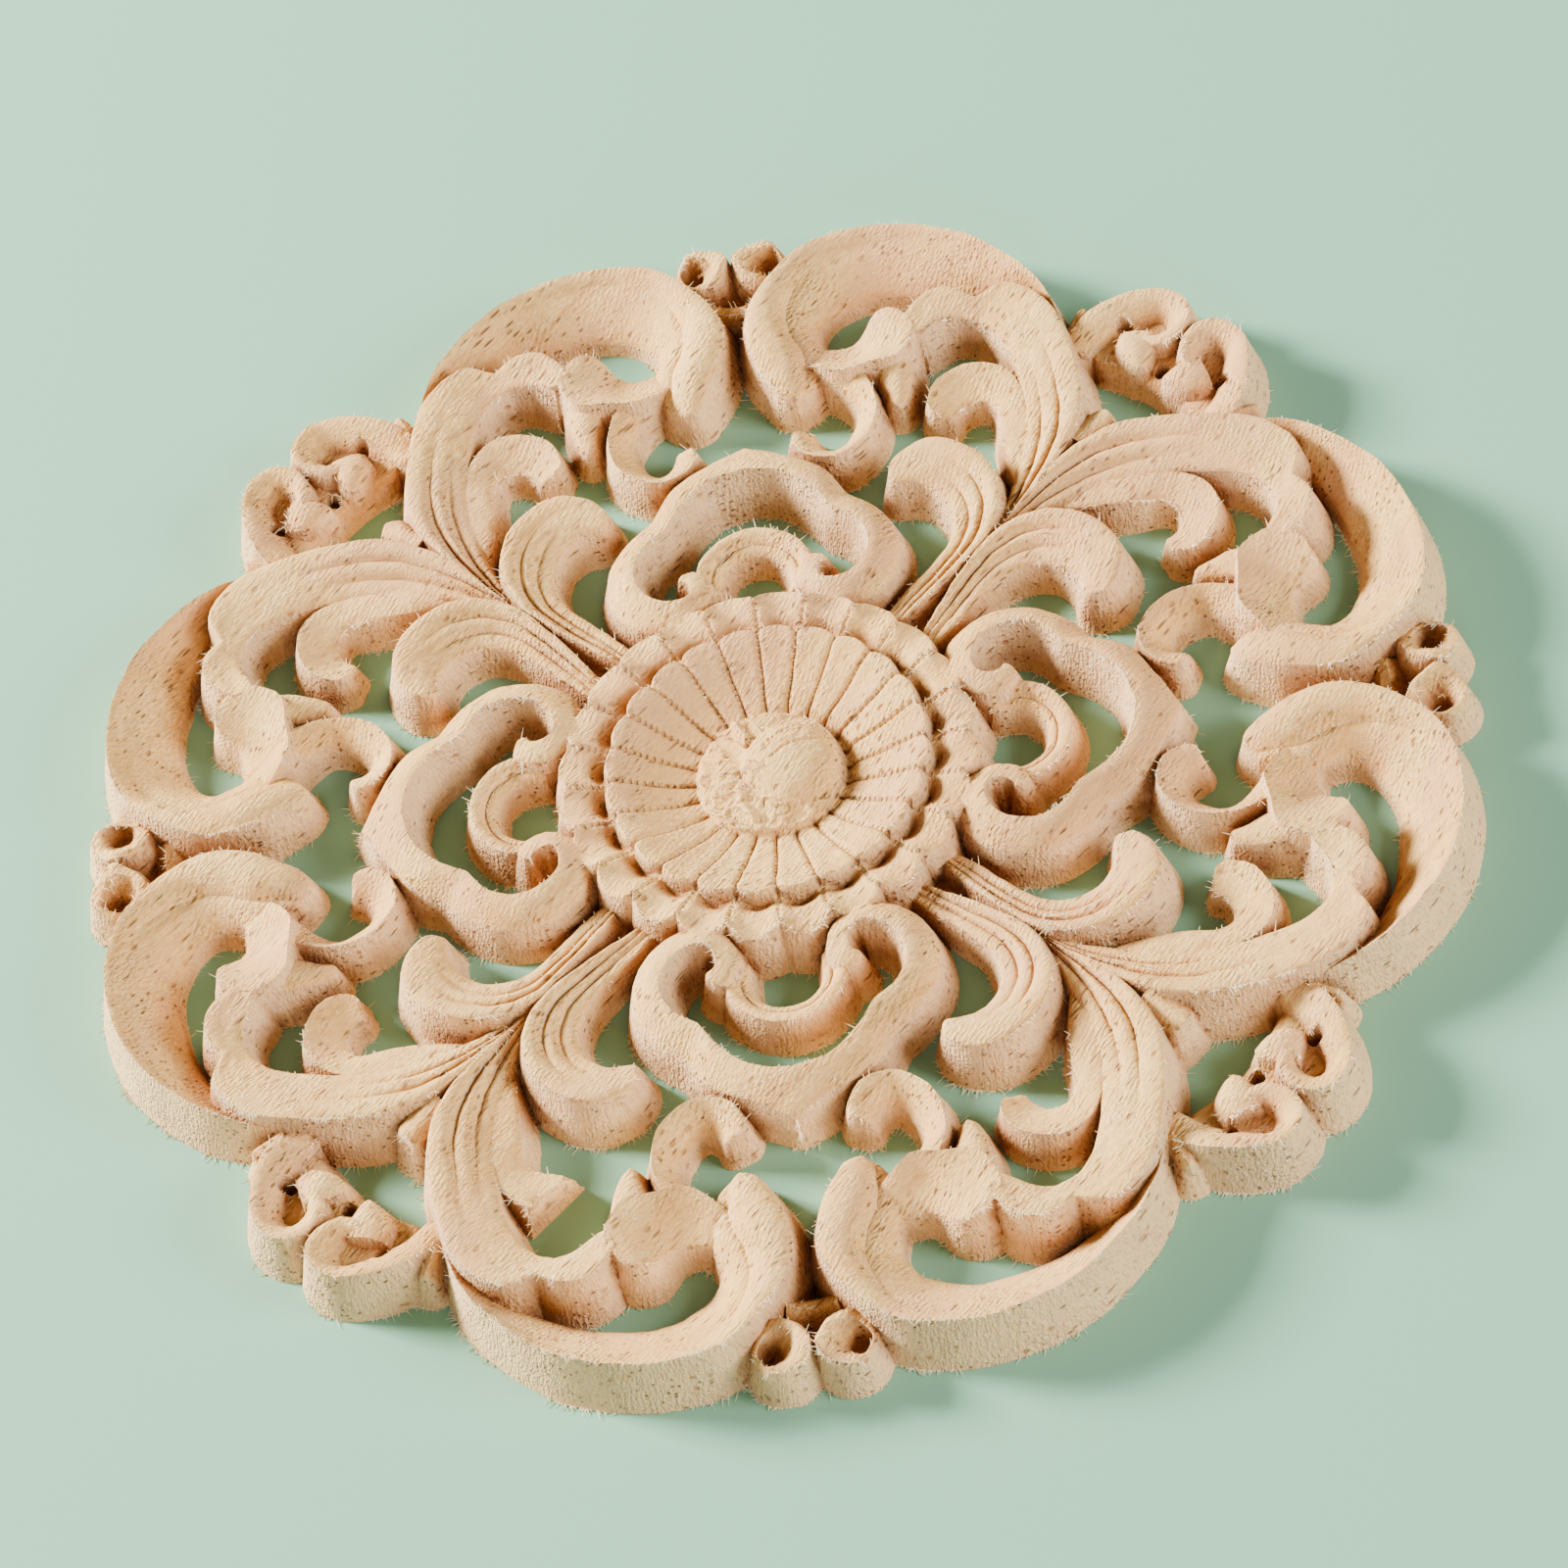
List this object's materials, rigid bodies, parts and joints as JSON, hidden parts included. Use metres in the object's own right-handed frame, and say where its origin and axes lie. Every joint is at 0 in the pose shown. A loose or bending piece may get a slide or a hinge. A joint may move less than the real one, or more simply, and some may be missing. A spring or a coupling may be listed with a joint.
{
  "type": "carved rosette appliqué",
  "caption": "Round openwork rosette carved from one flat board: fluted centre medallion, acanthus leaves, C-scrolls and small blossoms, with a flat back for gluing on.",
  "frame": {"origin": "middle of the flat back, under the centre of the medallion", "axes": "+Z out of the carved face, +X and +Y along two of the four cross axes that run through the paired buds"},
  "size_m": [0.1998, 0.1998, 0.0092],
  "materials": {
    "raw_wood": "raw, unsanded pale wood"
  },
  "bodies": {
    "root": {"rosette": "raw_wood"}
  },
  "joints": []
}
